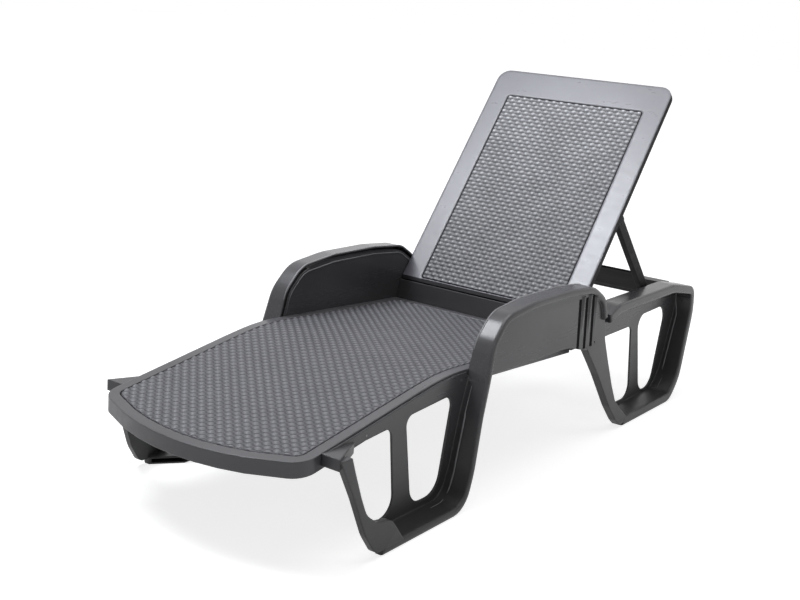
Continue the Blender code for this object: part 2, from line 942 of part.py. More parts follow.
def backrest_frame():
    outline = backrest_outline(0, 0, 0, backrest_corner_radius, backrest_foot_radius)
    frame = plan_prism("backrest_shell", [outline], flange_under, hinge_depth)
    inside = offset(outline, wall)
    under = plan_prism("backrest_hollow", [inside], flange_under - overrun, plate_under)
    combine(frame, [under], "DIFFERENCE", closed_solver)

    panel_floor = hinge_depth - panel_sink - panel_thickness - seam
    base_low = panel_floor - ledge_base_thickness
    around = backrest_panel_outline(-ledge_margin)
    base = plan_prism("panel_base", [around], base_low, hinge_depth - seam)
    panel_outline = backrest_panel_outline(0)
    recess = plan_prism("panel_recess", [panel_outline], panel_floor, hinge_depth + overrun)
    opening = backrest_panel_outline(panel_seat_width)
    hole = plan_prism("panel_hole", [opening], -overrun, hinge_depth + overrun)
    combine(frame, [base], "UNION", closed_solver)
    combine(frame, [recess, hole], "DIFFERENCE", closed_solver)

    reach = backrest_half - backrest_side_rim - panel_seat_width / 2
    ribs = []
    for share in backrest_rib_shares:
        start = share * backrest_length - hinge_setback
        ribs.append(
            box(
                "backrest_rib",
                (-reach, start, flange_under),
                (reach, start + backrest_rib_thickness, panel_floor - seam),
            )
        )
    combine(frame, ribs, "UNION", closed_solver)

    top = plate_under + wall / 2
    lug_inner = backrest_half - hinge_lug_width
    flange_inner = backrest_half - wall
    hinge = (0, 0)
    pivot = (prop_along, prop_up)
    hinge_lug = lug_outline(hinge, hinge_lug_radius, top)
    prop_lug = lug_outline(pivot, prop_lug_radius, top)
    lugs = [
        side_prism("hinge_lug", [hinge_lug], lug_inner, backrest_half),
        side_prism("hinge_lug", [hinge_lug], -backrest_half, -lug_inner),
        side_prism("prop_lug", [prop_lug], flange_inner, backrest_half),
        side_prism("prop_lug", [prop_lug], -backrest_half, -flange_inner),
    ]
    combine(frame, lugs, "UNION", closed_solver)
    holes = [
        cross_cylinder("hinge_hole", hinge_pin_radius + seam, -width, width, hinge),
        cross_cylinder("prop_hole", prop_pin_radius + seam, -width, width, pivot),
    ]
    combine(frame, holes, "DIFFERENCE", closed_solver)
    return tilted(settled(frame, "backrest_frame", parts))


def backrest_panel():
    top = hinge_depth - panel_sink
    outline = backrest_panel_outline(seam)
    panel = plan_prism("backrest_sheet", [outline], top - panel_thickness, top)
    return tilted(settled(panel, "backrest_panel", parts))


def tilted(solid):
    solid.location = (0, hinge_y, hinge_z)
    solid.rotation_euler = (tilt, 0, 0)
    return solid


def prop_pins():
    neck = prop_arm_inner - seam
    end = neck - pin_head_thickness
    place = (prop_along, prop_up)
    tip = backrest_half - seam
    pins = headed_pin("prop_pin", place, prop_pin_radius, prop_pin_head_radius, tip, neck, end)
    return [tilted(pin) for pin in pins]


# Prop, built lying flat with its pivot at the origin


def prop_frame():
    half = prop_arm_width / 2
    arm_outline = rounded(
        [
            (Vector((-half, -half)), half * round_end_share),
            (Vector((prop_length + half, -half)), half * round_end_share),
            (Vector((prop_length + half, half)), half * round_end_share),
            (Vector((-half, half)), half * round_end_share),
        ]
    )
    arms = [
        side_prism("prop_arm", [arm_outline], prop_arm_inner, prop_arm_outer),
        side_prism("prop_arm", [arm_outline], -prop_arm_outer, -prop_arm_inner),
    ]
    far = prop_length - prop_bar_start
    reach = prop_arm_inner + prop_arm_thickness / 2
    bar = box(
        "prop_bar",
        (-reach, far - prop_bar_width, -prop_bar_thickness / 2),
        (reach, far, prop_bar_thickness / 2),
    )
    combine(bar, arms, "UNION")
    hole = cross_cylinder("prop_arm_hole", prop_pin_radius + seam, -width, width, (0, 0))
    combine(bar, [hole], "DIFFERENCE")
    frame = settled(bar, "prop_frame", parts)
    frame.location = (0, prop_y, prop_z)
    frame.rotation_euler = (atan2(foot_height - prop_z, foot_place - prop_y), 0, 0)
    return frame


def side_frames():
    frame = side_frame()
    holes = [screw_hole(place) for place in seat_screw_places() + rail_screw_places()]
    hinge_hole = cross_cylinder(
        "hinge_hole", hinge_pin_radius + seam, 0, web_outer + wall, (hinge_y, hinge_z)
    )
    head_space = cross_cylinder(
        "head_space",
        pin_head_radius + pin_head_gap,
        web_outer,
        web_outer + pin_head_thickness + pin_head_gap,
        (hinge_y, hinge_z),
    )
    combine(frame, holes + [hinge_hole, head_space], "DIFFERENCE", closed_solver)
    return [
        settled(frame, "side_frame_right", parts),
        settled(frame, "side_frame_left", parts, mirror=True),
    ]


def build():
    clear_scene()
    frame_resin = resin("anthracite_resin", anthracite, satin)
    weave_resin = resin("woven_resin", woven_grey, matt)
    inner_resin = resin("charcoal_resin", charcoal, matt)
    steel = resin("zinc_steel", zinc, satin, 1.0)
    for solid in side_frames() + [seat_frame(), backrest_frame()]:
        shade(solid, frame_resin)
    for solid in (seat_panel(), backrest_panel()):
        shade(solid, weave_resin)
    for solid in [hip_rail(), rear_rail(), prop_frame()] + notch_rack() + hinge_pins() + prop_pins():
        shade(solid, inner_resin)
    for solid in screws():
        shade(solid, steel)


build()
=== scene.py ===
import math

import bpy
import numpy as np
from mathutils import Matrix, Vector


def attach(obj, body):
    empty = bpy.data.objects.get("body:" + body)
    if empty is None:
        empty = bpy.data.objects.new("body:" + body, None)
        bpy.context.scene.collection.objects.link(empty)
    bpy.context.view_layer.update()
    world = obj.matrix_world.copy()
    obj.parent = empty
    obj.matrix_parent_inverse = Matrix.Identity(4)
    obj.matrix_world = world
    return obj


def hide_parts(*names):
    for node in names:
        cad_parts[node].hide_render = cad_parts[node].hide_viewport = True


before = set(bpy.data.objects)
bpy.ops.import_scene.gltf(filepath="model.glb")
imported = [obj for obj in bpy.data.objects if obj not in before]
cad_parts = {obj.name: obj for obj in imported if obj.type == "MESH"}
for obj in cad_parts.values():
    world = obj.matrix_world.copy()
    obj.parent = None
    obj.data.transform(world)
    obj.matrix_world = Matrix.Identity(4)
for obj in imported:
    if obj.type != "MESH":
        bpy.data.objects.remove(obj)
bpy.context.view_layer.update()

bpy.ops.object.select_all(action="DESELECT")
print("lounger: frame loaded,", len(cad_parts), "solids")

# Where the backrest stands: tilted about its hinge line.
backrestPlace = {
    "hingeY": 0.278979,
    "hingeZ": 0.33348,
    "tilt": 52.3,
}


# Camera, at the photograph's angle

cameraValues = {
    "azimuth": 34.529,
    "elevation": 13.881,
    "roll": 4.488,
    "distance": 3.003,
    "target": (0.0, -0.164, 0.3917),
    "focalPixels": 1214.615,
    "imageWidth": 800,
    "sensorWidth": 36.0,
    "clipEnd": 100.0,
}


def makeCamera():
    values = cameraValues
    azimuth = math.radians(values["azimuth"])
    elevation = math.radians(values["elevation"])
    roll = math.radians(values["roll"])
    back = Vector((
        math.sin(azimuth) * math.cos(elevation),
        -math.cos(azimuth) * math.cos(elevation),
        math.sin(elevation),
    ))
    right = (-back).cross(Vector((0, 0, 1))).normalized()
    up = right.cross(-back)
    rolledRight = right * math.cos(roll) + up * math.sin(roll)
    rolledUp = up * math.cos(roll) - right * math.sin(roll)
    eye = Vector(values["target"]) + back * values["distance"]
    turn = Matrix((rolledRight, rolledUp, back)).transposed().to_4x4()
    data = bpy.data.cameras.new("photoCamera")
    data.sensor_width = values["sensorWidth"]
    data.lens = values["focalPixels"] * values["sensorWidth"] / values["imageWidth"]
    data.clip_end = values["clipEnd"]
    camera = bpy.data.objects.new("photoCamera", data)
    camera.matrix_world = Matrix.Translation(eye) @ turn
    bpy.context.scene.collection.objects.link(camera)
    bpy.context.scene.camera = camera


# Helpers for node trees

def feed(tree, socket, value):
    if isinstance(value, bpy.types.NodeSocket):
        tree.links.new(value, socket)
    else:
        socket.default_value = value


def makeMath(tree, operation, first, second, clamped=False):
    node = tree.nodes.new("ShaderNodeMath")
    node.operation = operation
    node.use_clamp = clamped
    feed(tree, node.inputs[0], first)
    feed(tree, node.inputs[1], second)
    return node.outputs[0]


def mixColors(tree, amount, first, second):
    node = tree.nodes.new("ShaderNodeMix")
    node.data_type = "RGBA"
    for label, value in (("Factor", amount), ("A", first), ("B", second)):
        feed(tree, node.inputs[label], value)
    return node.outputs["Result"]


def remap(tree, value, low, high, fromLow=0.0, fromHigh=1.0):
    node = tree.nodes.new("ShaderNodeMapRange")
    feed(tree, node.inputs["Value"], value)
    feed(tree, node.inputs["From Min"], fromLow)
    feed(tree, node.inputs["From Max"], fromHigh)
    feed(tree, node.inputs["To Min"], low)
    feed(tree, node.inputs["To Max"], high)
    return node.outputs["Result"]


def makeNoise(tree, place, scale, detail, roughness=0.5):
    node = tree.nodes.new("ShaderNodeTexNoise")
    feed(tree, node.inputs["Vector"], place)
    feed(tree, node.inputs["Scale"], scale)
    feed(tree, node.inputs["Detail"], detail)
    feed(tree, node.inputs["Roughness"], roughness)
    return node.outputs["Fac"]


def newFinish(name):
    finish = bpy.data.materials.new(name)
    finish.use_nodes = True
    return finish, finish.node_tree, finish.node_tree.nodes["Principled BSDF"]


# Floor, backdrop and studio light

studioValues = {
    "white": (1, 1, 1, 1),
    "ambient": 0.12,            # world level that lights the object
    "backdrop": 1.0,            # world level that the camera and the gloss see
    "floorColor": (0.48, 0.48, 0.48, 1),
    "floorRoughness": 0.9,
    "floorSpecular": 0.1,
    "floorSize": 60.0,
    "floorDrop": 0.0005,        # how far the floor lies under the feet
    "floorLift": (0.80, 1.0),   # glow near and far, where the floor is seen, so that it reads white
    "floorLiftReach": (1.3, 5.0),
    "lights": {
        "keyLight": {
            "power": 112.0,
            "size": 1.4,
            "place": (-1.62, -1.25, 3.75),
            "aim": (0.0, 0.3, 0.5),
            "color": (0.93, 0.955, 1.0),
        },
        "topLight": {"power": 86.0, "size": 3.2, "place": (0.3, 0.3, 4.2), "aim": (0.0, 0.0, 0.3)},
        "fillLight": {"power": 13.0, "size": 2.4, "place": (3.2, -0.6, 1.9), "aim": (0.2, 0.0, 0.2)},
    },
}


def makeAreaLight(name, power, size, place, aim, color=(1.0, 1.0, 1.0)):
    data = bpy.data.lights.new(name, "AREA")
    data.color = color
    data.shape = "SQUARE"
    data.size = size
    data.energy = power
    light = bpy.data.objects.new(name, data)
    light.location = place
    light.rotation_euler = (Vector(aim) - Vector(place)).to_track_quat("-Z", "Y").to_euler()
    bpy.context.scene.collection.objects.link(light)


def seenDirectly(tree):
    # 1 for the camera, for gloss and for clear materials, 0 for the light that falls on things
    path = tree.nodes.new("ShaderNodeLightPath").outputs
    glossOrClear = makeMath(tree, "MAXIMUM", path["Is Glossy Ray"], path["Is Transmission Ray"])
    return makeMath(tree, "MAXIMUM", path["Is Camera Ray"], glossOrClear)


def makeStudio():
    values = studioValues
    world = bpy.data.worlds.new("studio")
    bpy.context.scene.world = world
    world.use_nodes = True
    tree = world.node_tree
    background = tree.nodes["Background"]
    background.inputs["Color"].default_value = values["white"]
    level = remap(tree, seenDirectly(tree), values["ambient"], values["backdrop"])
    tree.links.new(level, background.inputs["Strength"])

    bpy.ops.mesh.primitive_plane_add(size=values["floorSize"], location=(0, 0, -values["floorDrop"]))
    floor = bpy.context.active_object
    floor.name = "floor"
    finish, tree, shader = newFinish("paleFloor")
    shader.inputs["Base Color"].default_value = values["floorColor"]
    shader.inputs["Roughness"].default_value = values["floorRoughness"]
    shader.inputs["Specular IOR Level"].default_value = values["floorSpecular"]
    shader.inputs["Emission Color"].default_value = values["white"]
    place = tree.nodes.new("ShaderNodeTexCoord")
    away = tree.nodes.new("ShaderNodeVectorMath")
    away.operation = "LENGTH"
    tree.links.new(place.outputs["Object"], away.inputs[0])
    spread = remap(tree, away.outputs["Value"], *values["floorLift"], *values["floorLiftReach"])
    lift = makeMath(tree, "MULTIPLY", seenDirectly(tree), spread)
    tree.links.new(lift, shader.inputs["Emission Strength"])
    floor.data.materials.append(finish)

    for lightName, light in values["lights"].items():
        makeAreaLight(lightName, **light)
    bpy.context.scene.view_settings.view_transform = "Standard"


# Shared effects, each a node group

effectValues = {
    "edgeWear": {
        "samples": 6,
        "edgeGain": 5.0,         # how soon a rounded edge counts as rubbed
        "patchDetail": 3.0,
        "patchStart": 0.36,      # noise under this leaves no wear
        "patchGain": 3.2,
    },
    "mouldGrain": {
        "grainDetail": 2.0,
        "grainRoughness": 0.6,
        "streakDetail": 4.0,
        "streakRoughness": 0.62,
    },
    "toneDrift": {
        "driftDetail": 3.0,
        "dustDetail": 5.0,
        "dustOnLevel": 0.8,      # dust on a face that lies level
        "soilAndShadeRagged": 0.5,       # how uneven the upper edge of the soil and painted shade is
        "soilAndShadeStart": 1.3,        # soil and painted shade at the floor, before they thin with height
    },
    "weaveDepth": {
        "crestMost": 0.9,
        "glossRange": (0.2, 1.0),
    },
}


def newGroup(name, inputs, outputs):
    group = bpy.data.node_groups.new(name, "ShaderNodeTree")
    for label, kind, start in inputs:
        socket = group.interface.new_socket(label, in_out="INPUT", socket_type=kind)
        socket.default_value = start
    for label, kind in outputs:
        group.interface.new_socket(label, in_out="OUTPUT", socket_type=kind)
    return group, group.nodes.new("NodeGroupInput").outputs, group.nodes.new("NodeGroupOutput").inputs


def makeEdgeWearGroup():
    # Rounds the look of moulded edges, and marks where hands and feet rub them lighter.
    values = effectValues["edgeWear"]
    group, given, out = newGroup(
        "edgeWear",
        [("Radius", "NodeSocketFloat", 0.003), ("Patch Scale", "NodeSocketFloat", 40.0)],
        [("Normal", "NodeSocketVector"), ("Mask", "NodeSocketFloat")],
    )
    rounding = group.nodes.new("ShaderNodeBevel")
    rounding.samples = values["samples"]
    group.links.new(given["Radius"], rounding.inputs["Radius"])
    surface = group.nodes.new("ShaderNodeNewGeometry")
    facing = group.nodes.new("ShaderNodeVectorMath")
    facing.operation = "DOT_PRODUCT"
    group.links.new(rounding.outputs["Normal"], facing.inputs[0])
    group.links.new(surface.outputs["Normal"], facing.inputs[1])
    edge = makeMath(group, "SUBTRACT", 1.0, facing.outputs["Value"])
    edge = makeMath(group, "MULTIPLY", edge, values["edgeGain"], True)
    place = group.nodes.new("ShaderNodeTexCoord").outputs["Object"]
    patches = makeNoise(group, place, given["Patch Scale"], values["patchDetail"])
    spread = makeMath(group, "SUBTRACT", patches, values["patchStart"])
    spread = makeMath(group, "MULTIPLY", spread, values["patchGain"], True)
    group.links.new(makeMath(group, "MULTIPLY", edge, spread, True), out["Mask"])
    group.links.new(rounding.outputs["Normal"], out["Normal"])
    return group


def makeMouldGrainGroup():
    # Spark-eroded mould grain, with faint flow streaks along the chosen direction.
    values = effectValues["mouldGrain"]
    group, given, out = newGroup(
        "mouldGrain",
        [
            ("Grain Scale", "NodeSocketFloat", 900.0),
            ("Streak Size", "NodeSocketVector", (60.0, 6.0, 60.0)),
            ("Streak Share", "NodeSocketFloat", 0.3),
        ],
        [("Height", "NodeSocketFloat"), ("Streaks", "NodeSocketFloat")],
    )
    place = group.nodes.new("ShaderNodeTexCoord").outputs["Object"]
    fine = given["Grain Scale"]
    grain = makeNoise(group, place, fine, values["grainDetail"], values["grainRoughness"])
    stretch = group.nodes.new("ShaderNodeVectorMath")
    stretch.operation = "MULTIPLY"
    group.links.new(place, stretch.inputs[0])
    group.links.new(given["Streak Size"], stretch.inputs[1])
    flow = stretch.outputs["Vector"]
    streaks = makeNoise(group, flow, 1.0, values["streakDetail"], values["streakRoughness"])
    weighted = makeMath(group, "MULTIPLY", streaks, given["Streak Share"])
    group.links.new(makeMath(group, "ADD", grain, weighted), out["Height"])
    group.links.new(streaks, out["Streaks"])
    return group


def makeToneDriftGroup():
    # Slow changes of tone in the resin, dust on what faces up, and darkening towards the floor: partly
    # soil, partly painted shade where the light falls off low down.
    values = effectValues["toneDrift"]
    group, given, out = newGroup(
        "toneDrift",
        [
            ("Drift Scale", "NodeSocketFloat", 3.0),
            ("Dust Scale", "NodeSocketFloat", 55.0),
            ("Soil Height", "NodeSocketFloat", 0.30),
        ],
        [("Drift", "NodeSocketFloat"), ("Dust", "NodeSocketFloat"), ("SoilAndShade", "NodeSocketFloat")],
    )
    place = group.nodes.new("ShaderNodeTexCoord").outputs["Object"]
    slow = makeNoise(group, place, given["Drift Scale"], values["driftDetail"])
    group.links.new(slow, out["Drift"])
    surface = group.nodes.new("ShaderNodeNewGeometry")
    facing = group.nodes.new("ShaderNodeSeparateXYZ")
    group.links.new(surface.outputs["Normal"], facing.inputs[0])
    upward = makeMath(group, "MULTIPLY", facing.outputs["Z"], values["dustOnLevel"], True)
    specks = makeNoise(group, place, given["Dust Scale"], values["dustDetail"])
    group.links.new(makeMath(group, "MULTIPLY", upward, specks), out["Dust"])
    # Darker towards the floor: partly soil, partly painted shade.
    spot = group.nodes.new("ShaderNodeSeparateXYZ")
    group.links.new(place, spot.inputs[0])
    rise = makeMath(group, "DIVIDE", spot.outputs["Z"], given["Soil Height"])
    ragged = makeMath(group, "ADD", rise, makeMath(group, "MULTIPLY", slow, values["soilAndShadeRagged"]))
    group.links.new(makeMath(group, "SUBTRACT", values["soilAndShadeStart"], ragged, True), out["SoilAndShade"])
    return group


def makeWeaveDepthGroup():
    # Masks from the height of the strands: out of the pits, on the crests, and where it is glossy. The
    # pits take painted shade, the crests rubbing and a painted highlight.
    values = effectValues["weaveDepth"]
    group, given, out = newGroup(
        "weaveDepth",
        [
            ("Height", "NodeSocketFloat", 0.0),
            ("Pit From", "NodeSocketFloat", 0.1),
            ("Pit To", "NodeSocketFloat", 0.5),
            ("Crest From", "NodeSocketFloat", 0.6),
            ("Crest To", "NodeSocketFloat", 0.9),
        ],
        [("Strand", "NodeSocketFloat"), ("Crest", "NodeSocketFloat"), ("Gloss", "NodeSocketFloat")],
    )
    height = given["Height"]
    strand = remap(group, height, 0, 1, given["Pit From"], given["Pit To"])
    crest = remap(group, height, 0, values["crestMost"], given["Crest From"], given["Crest To"])
    group.links.new(strand, out["Strand"])
    group.links.new(crest, out["Crest"])
    group.links.new(remap(group, height, 0, 1, *values["glossRange"]), out["Gloss"])
    return group


effects = {
    "edgeWear": makeEdgeWearGroup(),
    "mouldGrain": makeMouldGrainGroup(),
    "toneDrift": makeToneDriftGroup(),
    "weaveDepth": makeWeaveDepthGroup(),
}


def placeEffect(tree, name, **settings):
    node = tree.nodes.new("ShaderNodeGroup")
    node.node_tree = effects[name]
    for label, value in settings.items():
        feed(tree, node.inputs[label.replace("_", " ")], value)
    return node.outputs


def placeGrain(tree, values):
    scale, size = values["grainScale"], values["streakSize"]
    return placeEffect(tree, "mouldGrain", Grain_Scale=scale, Streak_Size=size)


def bumpGrain(tree, shader, grain, values):
    bump = tree.nodes.new("ShaderNodeBump")
    bump.inputs["Strength"].default_value = values["bump"]
    bump.inputs["Distance"].default_value = values["bumpDistance"]
    tree.links.new(grain["Height"], bump.inputs["Height"])
    tree.links.new(bump.outputs["Normal"], shader.inputs["Normal"])
    return bump


# Resin and steel finishes

finishValues = {
    "anthraciteResin": {
        "color": (0.084, 0.083, 0.091, 1),
        "darkColor": (0.064, 0.063, 0.069, 1),
        "wornColor": (0.20, 0.20, 0.215, 1),
        "dustColor": (0.19, 0.19, 0.20, 1),
        "soilAndShadeColor": (0.030, 0.029, 0.030, 1),
        "soilAndShadeHeight": 0.30,
        "roughness": (0.24, 0.36),
        "specular": 0.46,
        "edgeRadius": 0.0050,
        "grainScale": 900.0,
        "streakSize": (70.0, 7.0, 70.0),
        "bump": 0.10,
        "bumpDistance": 0.0004,
    },
    "sideResin": {
        "color": (0.084, 0.083, 0.090, 1),
        "darkColor": (0.064, 0.063, 0.068, 1),
        "wornColor": (0.20, 0.20, 0.215, 1),
        "dustColor": (0.19, 0.19, 0.20, 1),
        # Painted shade: the side frames darken more, and further up, towards the floor, for the shade
        # on the legs.
        "soilAndShadeColor": (0.016, 0.016, 0.016, 1),
        "soilAndShadeHeight": 0.44,
        "roughness": (0.17, 0.22),
        "specular": 0.35,
        "edgeRadius": 0.0050,
        "grainScale": 900.0,
        "streakSize": (70.0, 7.0, 70.0),
        "bump": 0.05,
        "bumpDistance": 0.0003,
    },
    # Painted highlight: a light resin on the thin beads, for the light lines where they catch the
    # light.
    "beadHighlightResin": {
        "color": (0.230, 0.230, 0.240, 1),
        "darkColor": (0.150, 0.150, 0.158, 1),
        "wornColor": (0.34, 0.34, 0.36, 1),
        "dustColor": (0.26, 0.26, 0.27, 1),
        "soilAndShadeColor": (0.100, 0.100, 0.102, 1),
        "soilAndShadeHeight": 0.30,
        "roughness": (0.30, 0.46),
        "specular": 0.50,
        "edgeRadius": 0.0008,
        "grainScale": 900.0,
        "streakSize": (40.0, 40.0, 40.0),
        "bump": 0.10,
        "bumpDistance": 0.0003,
    },
    "backrestResin": {
        # Painted light: a lighter, lilac copy of the anthracite resin, for the sheen where the backrest
        # faces the key lamp.
        "color": (0.124, 0.124, 0.146, 1),
        "darkColor": (0.098, 0.098, 0.114, 1),
        "wornColor": (0.24, 0.235, 0.27, 1),
        "dustColor": (0.22, 0.215, 0.24, 1),
        "soilAndShadeColor": (0.030, 0.029, 0.030, 1),
        "soilAndShadeHeight": 0.30,
        "roughness": (0.27, 0.33),
        "specular": 0.60,
        "edgeRadius": 0.0090,
        "grainScale": 900.0,
        "streakSize": (22.0, 60.0, 60.0),
        "bump": 0.06,
        "bumpDistance": 0.0003,
    },
    "railResin": {
        # Painted shade: a darker copy of the frame resin, for the rails, which lie in shade.
        "color": (0.052, 0.051, 0.055, 1),
        "darkColor": (0.038, 0.037, 0.040, 1),
        "wornColor": (0.130, 0.129, 0.140, 1),
        "dustColor": (0.100, 0.099, 0.105, 1),
        "soilAndShadeColor": (0.030, 0.029, 0.030, 1),
        "soilAndShadeHeight": 0.30,
        "roughness": (0.32, 0.46),
        "specular": 0.35,
        "edgeRadius": 0.0030,
        "grainScale": 900.0,
        "streakSize": (9.0, 80.0, 80.0),
        "bump": 0.10,
        "bumpDistance": 0.0004,
    },
    "charcoalResin": {
        "color": (0.015, 0.0145, 0.0165, 1),
        "darkColor": (0.010, 0.0095, 0.011, 1),
        "wornColor": (0.070, 0.069, 0.078, 1),
        "dustColor": (0.034, 0.033, 0.037, 1),
        "soilAndShadeColor": (0.030, 0.029, 0.030, 1),
        "soilAndShadeHeight": 0.30,
        "roughness": (0.40, 0.55),
        "specular": 0.07,
        "edgeRadius": 0.0025,
        "grainScale": 1100.0,
        "streakSize": (9.0, 80.0, 80.0),
        "bump": 0.12,
        "bumpDistance": 0.0004,
    },
}


# How much of each effect shows on every resin
resinShares = {
    "toneRange": (0.35, 0.65),   # the part of the drift that spans dark to light
    "dust": 0.22,
    "wear": 0.5,
    "soilAndShade": 0.85,
    "streakRange": (0.3, 0.7),   # the part of the streaks that spans the roughness
    "soilRoughness": 0.25,       # how much rougher soiled resin is
}


def makeResin(name):
    values = finishValues[name]
    shares = resinShares
    finish, tree, shader = newFinish(name)
    shader.inputs["Specular IOR Level"].default_value = values["specular"]
    wear = placeEffect(tree, "edgeWear", Radius=values["edgeRadius"])
    grain = placeGrain(tree, values)
    drift = placeEffect(tree, "toneDrift", Soil_Height=values["soilAndShadeHeight"])
    tone = remap(tree, drift["Drift"], 0, 1, *shares["toneRange"])
    dust = makeMath(tree, "MULTIPLY", drift["Dust"], shares["dust"])
    rubbed = makeMath(tree, "MULTIPLY", wear["Mask"], shares["wear"])
    soilAndShade = makeMath(tree, "MULTIPLY", drift["SoilAndShade"], shares["soilAndShade"])
    color = mixColors(tree, tone, values["darkColor"], values["color"])
    color = mixColors(tree, dust, color, values["dustColor"])
    color = mixColors(tree, rubbed, color, values["wornColor"])
    # Painted shade and soil: the low parts darken towards the soil-and-shade colour.
    color = mixColors(tree, soilAndShade, color, values["soilAndShadeColor"])
    tree.links.new(color, shader.inputs["Base Color"])
    streaked = remap(tree, grain["Streaks"], *values["roughness"], *shares["streakRange"])
    dulled = makeMath(tree, "MULTIPLY", drift["SoilAndShade"], shares["soilRoughness"])
    tree.links.new(makeMath(tree, "ADD", streaked, dulled, True), shader.inputs["Roughness"])
    bump = bumpGrain(tree, shader, grain, values)
    tree.links.new(wear["Normal"], bump.inputs["Normal"])
    return finish


weaveFinishValues = {
    "seatWeaveResin": {
        "strandColor": (0.118, 0.118, 0.130, 1),
        "strandDark": (0.080, 0.080, 0.089, 1),
        # Painted shade in the pits between the strands; the crests are lighter from rubbing and from a
        # painted highlight.
        "pitColor": (0.012, 0.012, 0.014, 1),
        "crestColor": (0.165, 0.165, 0.182, 1),
        "soilAndShadeColor": (0.030, 0.030, 0.032, 1),
        "soilAndShadeHeight": 0.10,
        "driftScale": 14.0,
        "pitRange": (0.12, 0.50),
        "crestRange": (0.66, 0.96),
        "roughness": (0.34, 0.56),
        "specular": 0.40,
        "grainScale": 1300.0,
        "streakSize": (160.0, 160.0, 160.0),
        "bump": 0.25,
        "bumpDistance": 0.0004,
    },
    "backrestWeaveResin": {
        # Painted light: the strands are a far lighter copy of the seat's, for the sheen where the
        # backrest faces the key lamp.
        "strandColor": (0.285, 0.288, 0.312, 1),
        "strandDark": (0.200, 0.202, 0.220, 1),
        # Painted shade in the pits between the strands; the crests are lighter from rubbing and from a
        # painted highlight.
        "pitColor": (0.010, 0.010, 0.012, 1),
        "crestColor": (0.530, 0.533, 0.565, 1),
        # Painted shade: the weave darkens towards the backrest's foot, for the light falling off there.
        "soilAndShadeColor": (0.030, 0.030, 0.034, 1),
        "soilAndShadeHeight": 0.85,
        "driftScale": 14.0,
        "pitRange": (0.10, 0.42),
        "crestRange": (0.60, 0.95),
        "roughness": (0.26, 0.50),
        "specular": 0.60,
        "grainScale": 1300.0,
        "streakSize": (160.0, 160.0, 160.0),
        "bump": 0.20,
        "bumpDistance": 0.0004,
    },
}


def makeWovenResin(name):
    values = weaveFinishValues[name]
    finish, tree, shader = newFinish(name)
    shader.inputs["Specular IOR Level"].default_value = values["specular"]
    height = tree.nodes.new("ShaderNodeAttribute")
    height.attribute_name = "weaveHeight"
    pitFrom, pitTo = values["pitRange"]
    crestFrom, crestTo = values["crestRange"]
    depth = placeEffect(
        tree, "weaveDepth", Height=height.outputs["Fac"],
        Pit_From=pitFrom, Pit_To=pitTo, Crest_From=crestFrom, Crest_To=crestTo,
    )
    grain = placeGrain(tree, values)
    drift = placeEffect(
        tree, "toneDrift", Drift_Scale=values["driftScale"], Soil_Height=values["soilAndShadeHeight"],
    )
    color = mixColors(tree, drift["Drift"], values["strandDark"], values["strandColor"])
    # Painted shade in the pits, and the crests lighter from rubbing and from a painted highlight.
    color = mixColors(tree, depth["Strand"], values["pitColor"], color)
    color = mixColors(tree, depth["Crest"], color, values["crestColor"])
    # Darker towards the floor from the soil-and-shade mask; on the backrest weave this is painted
    # shade.
    color = mixColors(tree, drift["SoilAndShade"], color, values["soilAndShadeColor"])
    tree.links.new(color, shader.inputs["Base Color"])
    low, high = values["roughness"]
    tree.links.new(remap(tree, depth["Gloss"], high, low), shader.inputs["Roughness"])
    bumpGrain(tree, shader, grain, values)
    return finish


steelValues = {
    "color": (0.19, 0.19, 0.195, 1),
    "dullColor": (0.12, 0.12, 0.125, 1),
    "roughness": (0.38, 0.58),
    "edgeRadius": 0.0006,
    "patchScale": 300.0,
    "driftScale": 160.0,
}


def makeZincSteel():
    values = steelValues
    finish, tree, shader = newFinish("zincSteel")
    shader.inputs["Metallic"].default_value = 1.0
    wear = placeEffect(tree, "edgeWear", Radius=values["edgeRadius"], Patch_Scale=values["patchScale"])
    drift = placeEffect(tree, "toneDrift", Drift_Scale=values["driftScale"])
    plated = mixColors(tree, drift["Drift"], values["dullColor"], values["color"])
    tree.links.new(plated, shader.inputs["Base Color"])
    tree.links.new(remap(tree, drift["Drift"], *values["roughness"]), shader.inputs["Roughness"])
    tree.links.new(wear["Normal"], shader.inputs["Normal"])
    return finish


finishes = {name: makeResin(name) for name in finishValues}
finishes.update({name: makeWovenResin(name) for name in weaveFinishValues})
finishes["zincSteel"] = makeZincSteel()

solidFinishes = {
    "railResin": ["hip_rail", "rear_rail"],
    "charcoalResin": [
        "notch_rack_right", "notch_rack_left",
        "hinge_pin_right", "hinge_pin_left", "prop_pin_right", "prop_pin_left",
    ],
    "zincSteel": [
        "seat_screw_front_right", "seat_screw_front_left",
        "seat_screw_rear_right", "seat_screw_rear_left",
        "hip_rail_screw_right", "hip_rail_screw_left",
        "rear_rail_screw_right", "rear_rail_screw_left",
    ],
}


def finishSolids():
    for finishName, nodeNames in solidFinishes.items():
        for nodeName in nodeNames:
            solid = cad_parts[nodeName]
            if not solid.material_slots:
                solid.data.materials.append(finishes[finishName])
            for slot in solid.material_slots:
                slot.material = finishes[finishName]


# Rattan-look sheets: real strands over and under each other, moulded into one skin

